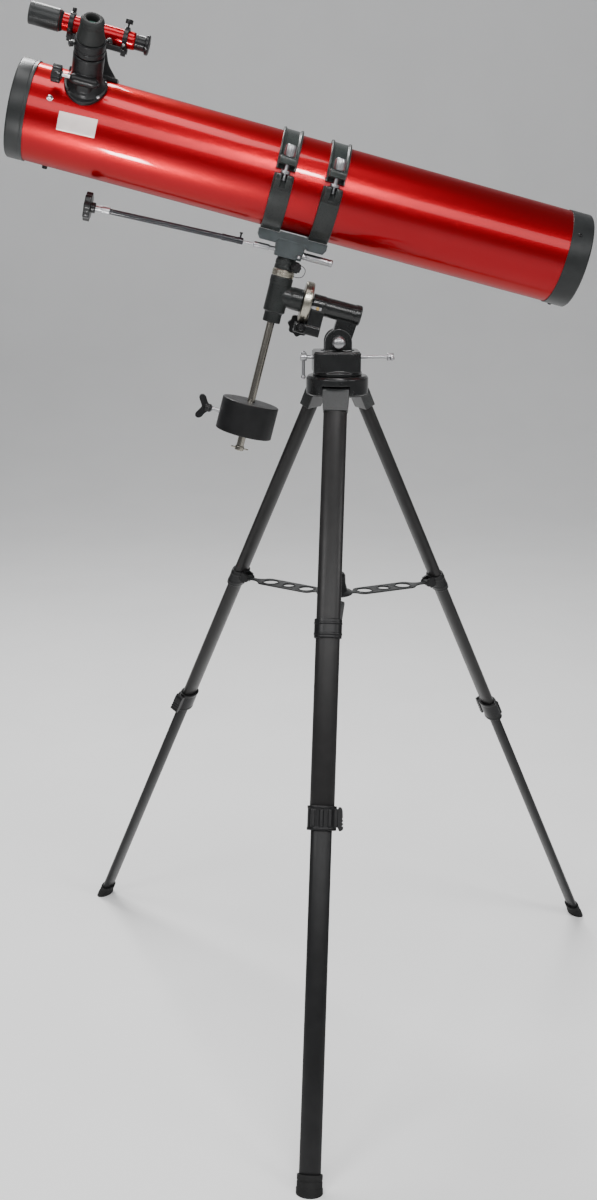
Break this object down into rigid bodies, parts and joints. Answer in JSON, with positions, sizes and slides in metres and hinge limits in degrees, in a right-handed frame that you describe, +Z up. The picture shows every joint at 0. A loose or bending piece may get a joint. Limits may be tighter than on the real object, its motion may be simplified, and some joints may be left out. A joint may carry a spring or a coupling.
{
  "type": "reflector telescope",
  "caption": "Red reflector telescope on a German equatorial mount with counterweight and a folding aluminium tripod.",
  "frame": {"origin": "middle of the bounding box base, on the ground between the feet", "axes": "+Z up; the telescope tube lies in a plane parallel to XZ with its open end towards -X; -Y faces the viewer"},
  "size_m": [1.0116, 0.8972, 1.6151],
  "materials": {
    "tube_red": "glossy metallic red paint",
    "finder_red": "glossy metallic red paint",
    "black_casting": "semi-matt black paint on castings",
    "ring_casting": "semi-gloss black paint",
    "saddle_casting": "dark grey paint",
    "counterweight_iron": "satin black paint",
    "fitting_grey": "dark grey moulded plastic",
    "leg_paint_upper": "satin dark grey paint",
    "leg_paint_lower": "satin black paint",
    "black_plastic": "moulded black plastic",
    "spreader_paint": "black paint on pressed sheet",
    "slow_motion_cable": "steel rod under a black sheath",
    "chrome": "bright chrome plate",
    "circle_silver": "bright turned aluminium",
    "rod_steel": "bright steel",
    "foot_rubber": "matt rubber",
    "spider_black": "matt black paint",
    "mirror_glass": "aluminised front surface"
  },
  "bodies": {
    "tripod": {"tripod_hub": "black_casting"},
    "leg_1": {"leg_fitting_1": "fitting_grey", "upper_leg_1": "leg_paint_upper", "spreader_collar_1": "black_plastic", "leg_clamp_1": "black_plastic"},
    "leg_2": {"leg_fitting_2": "fitting_grey", "upper_leg_2": "leg_paint_upper", "spreader_collar_2": "black_plastic", "leg_clamp_2": "black_plastic"},
    "leg_3": {"leg_fitting_3": "fitting_grey", "upper_leg_3": "leg_paint_upper", "spreader_collar_3": "black_plastic", "leg_clamp_3": "black_plastic"},
    "lower_leg_1": {"lower_leg_1": "leg_paint_lower", "foot_1": "foot_rubber"},
    "lower_leg_2": {"lower_leg_2": "leg_paint_lower", "foot_2": "foot_rubber"},
    "lower_leg_3": {"lower_leg_3": "leg_paint_lower", "foot_3": "foot_rubber"},
    "spreader_arm_1": {"spreader_arm_1": "spreader_paint"},
    "spreader_arm_2": {"spreader_arm_2": "spreader_paint"},
    "spreader_arm_3": {"spreader_arm_3": "spreader_paint"},
    "spreader_hub": {"spreader_hub": "black_plastic"},
    "azimuth": {"azimuth_base": "black_casting", "latitude_pivot_bolt": "chrome"},
    "latitude_bolt_left": {"latitude_bolt_left": "chrome"},
    "latitude_bolt_right": {"latitude_bolt_right": "chrome"},
    "polar_head": {"ra_housing": "black_casting"},
    "ra_worm": {"ra_worm": "black_plastic"},
    "ra_axis": {"dec_housing": "black_casting", "ra_setting_circle": "circle_silver"},
    "dec_axis": {"dec_shaft": "black_casting", "dec_setting_circle": "circle_silver", "counterweight_rod": "rod_steel", "saddle": "saddle_casting", "dec_spring_barrel": "chrome", "ring_lower_1": "ring_casting", "ring_lower_2": "ring_casting"},
    "counterweight": {"counterweight": "counterweight_iron"},
    "counterweight_screw": {"counterweight_screw": "black_plastic"},
    "dec_lock_knob": {"dec_lock_knob": "black_plastic"},
    "dec_slow_motion": {"slow_motion_rod": "slow_motion_cable", "slow_motion_knob": "black_plastic"},
    "ring_upper_1": {"ring_upper_1": "ring_casting"},
    "ring_upper_2": {"ring_upper_2": "ring_casting"},
    "ring_knob_1": {"ring_knob_1": "chrome"},
    "ring_knob_2": {"ring_knob_2": "chrome"},
    "telescope_tube": {"main_tube": "tube_red", "front_ring": "black_plastic", "rear_cell": "black_plastic", "primary_mirror": "mirror_glass", "spider": "spider_black", "secondary_mirror": "mirror_glass", "focuser_base": "black_plastic", "finder_bracket": "black_plastic", "finder_tube": "finder_red", "finder_eyepiece": "black_plastic"},
    "drawtube": {"drawtube": "black_plastic", "eyepiece": "black_plastic"},
    "focus_knob": {"focus_knob": "black_plastic"}
  },
  "joints": [
    {"name": "leg_fold_1", "type": "hinge", "parent": "tripod", "child": "leg_1", "pos_m": [-0.01337, 0.06556, 1.054], "axis": [0.9922, -0.1245, 0], "range_deg": [0, 19.5]},
    {"name": "leg_fold_2", "type": "hinge", "parent": "tripod", "child": "leg_2", "pos_m": [0.02627, 0.11788, 1.054], "axis": [-0.3883, 0.9215, 0], "range_deg": [0, 19.5]},
    {"name": "leg_fold_3", "type": "hinge", "parent": "tripod", "child": "leg_3", "pos_m": [-0.03886, 0.12605, 1.054], "axis": [-0.6039, -0.7971, 0], "range_deg": [0, 19.5]},
    {"name": "leg_extension_1", "type": "slide", "parent": "leg_1", "child": "lower_leg_1", "axis": [0.0539, 0.4295, 0.9015], "range_m": [0, 0.45]},
    {"name": "leg_extension_2", "type": "slide", "parent": "leg_2", "child": "lower_leg_2", "axis": [-0.3989, -0.1681, 0.9015], "range_m": [0, 0.45]},
    {"name": "leg_extension_3", "type": "slide", "parent": "leg_3", "child": "lower_leg_3", "axis": [0.345, -0.2614, 0.9015], "range_m": [0, 0.45]},
    {"name": "spreader_arm_1_hinge", "type": "hinge", "parent": "leg_1", "child": "spreader_arm_1", "pos_m": [-0.03056, -0.07147, 0.72], "axis": [-0.9922, 0.1245, 0], "range_deg": [0, 109.4]},
    {"name": "spreader_arm_2_hinge", "type": "hinge", "parent": "leg_2", "child": "spreader_arm_2", "pos_m": [0.15353, 0.1715, 0.72], "axis": [0.3883, -0.9215, 0], "range_deg": [0, 109.4]},
    {"name": "spreader_arm_3_hinge", "type": "hinge", "parent": "leg_3", "child": "spreader_arm_3", "pos_m": [-0.14894, 0.20945, 0.72], "axis": [0.6039, 0.7971, 0], "range_deg": [0, 109.4]},
    {"name": "spreader_hub_slide", "type": "slide", "parent": "tripod", "child": "spreader_hub", "axis": [0, 0, -1], "range_m": [0, 0.17627]},
    {"name": "azimuth_turn", "type": "hinge", "parent": "tripod", "child": "azimuth", "pos_m": [-0.00866, 0.10316, 1.075], "axis": [0, 0, 1], "continuous": true},
    {"name": "latitude_bolt_left_turn", "type": "hinge", "parent": "azimuth", "child": "latitude_bolt_left", "pos_m": [-0.06216, 0.10316, 1.1068], "axis": [1, 0, 0], "continuous": true},
    {"name": "latitude_bolt_right_turn", "type": "hinge", "parent": "azimuth", "child": "latitude_bolt_right", "pos_m": [0.07434, 0.10316, 1.1068], "axis": [1, 0, 0], "continuous": true},
    {"name": "latitude_tilt", "type": "hinge", "parent": "azimuth", "child": "polar_head", "pos_m": [-0.00866, 0.10316, 1.13], "axis": [0, 1, 0], "range_deg": [-14.4, 45]},
    {"name": "ra_worm_turn", "type": "hinge", "parent": "polar_head", "child": "ra_worm", "pos_m": [-0.06745, 0.10316, 1.15232], "axis": [0, 1, 0], "continuous": true},
    {"name": "ra_turn", "type": "hinge", "parent": "polar_head", "child": "ra_axis", "pos_m": [-0.10218, 0.10316, 1.20202], "axis": [-0.9686, 0, 0.2487], "range_deg": [-90, 90]},
    {"name": "dec_turn", "type": "hinge", "parent": "ra_axis", "child": "dec_axis", "pos_m": [-0.10218, 0.10316, 1.20202], "axis": [0.2487, 0, 0.9686], "continuous": true},
    {"name": "counterweight_slide", "type": "slide", "parent": "dec_axis", "child": "counterweight", "axis": [0.2487, 0, 0.9686], "range_m": [-0.02, 0.1]},
    {"name": "counterweight_screw_turn", "type": "hinge", "parent": "counterweight", "child": "counterweight_screw", "pos_m": [-0.20904, 0.10316, 1.0271], "axis": [0.9686, 0, -0.2487], "continuous": true},
    {"name": "dec_lock_turn", "type": "hinge", "parent": "dec_axis", "child": "dec_lock_knob", "pos_m": [-0.07568, 0.0876, 1.24271], "axis": [0.6849, -0.7071, -0.1758], "continuous": true},
    {"name": "dec_slow_motion_turn", "type": "hinge", "parent": "dec_axis", "child": "dec_slow_motion", "pos_m": [-0.10537, 0.10316, 1.27005], "axis": [0.9778, 0, -0.2096], "continuous": true},
    {"name": "ring_open_1", "type": "hinge", "parent": "dec_axis", "child": "ring_upper_1", "pos_m": [-0.09388, 0.18616, 1.37912], "axis": [-0.9686, 0, 0.2487], "range_deg": [0, 100]},
    {"name": "ring_knob_1_turn", "type": "hinge", "parent": "ring_upper_1", "child": "ring_knob_1", "pos_m": [-0.08731, 0.01916, 1.40469], "axis": [0.2487, 0, 0.9686], "continuous": true},
    {"name": "ring_open_2", "type": "hinge", "parent": "dec_axis", "child": "ring_upper_2", "pos_m": [-0.0222, 0.18616, 1.36072], "axis": [-0.9686, 0, 0.2487], "range_deg": [0, 100]},
    {"name": "ring_knob_2_turn", "type": "hinge", "parent": "ring_upper_2", "child": "ring_knob_2", "pos_m": [-0.01564, 0.01916, 1.38629], "axis": [0.2487, 0, 0.9686], "continuous": true},
    {"name": "tube_turn", "type": "hinge", "parent": "dec_axis", "child": "telescope_tube", "pos_m": [-0.0614, 0.10316, 1.36087], "axis": [0.9686, 0, -0.2487], "range_deg": [-120, 120]},
    {"name": "focus_slide", "type": "slide", "parent": "telescope_tube", "child": "drawtube", "axis": [0.1877, -0.6561, 0.731], "range_m": [0, 0.03]},
    {"name": "focus_knob_turn", "type": "hinge", "parent": "telescope_tube", "child": "focus_knob", "pos_m": [-0.41659, 0.02539, 1.5095], "axis": [0.9686, 0, -0.2487], "range_deg": [0, 345]}
  ],
  "couplings": [
    {"joint": "leg_fold_2", "follows": "leg_fold_1", "ratio": 1},
    {"joint": "leg_fold_3", "follows": "leg_fold_1", "ratio": 1},
    {"joint": "spreader_arm_1_hinge", "follows": "leg_fold_1", "ratio": 5.6},
    {"joint": "spreader_arm_2_hinge", "follows": "leg_fold_1", "ratio": 5.6},
    {"joint": "spreader_arm_3_hinge", "follows": "leg_fold_1", "ratio": 5.6},
    {"joint": "spreader_hub_slide", "follows": "leg_fold_1", "m_per_rad": 0.515},
    {"joint": "focus_knob_turn", "follows": "focus_slide", "rad_per_m": 200}
  ]
}
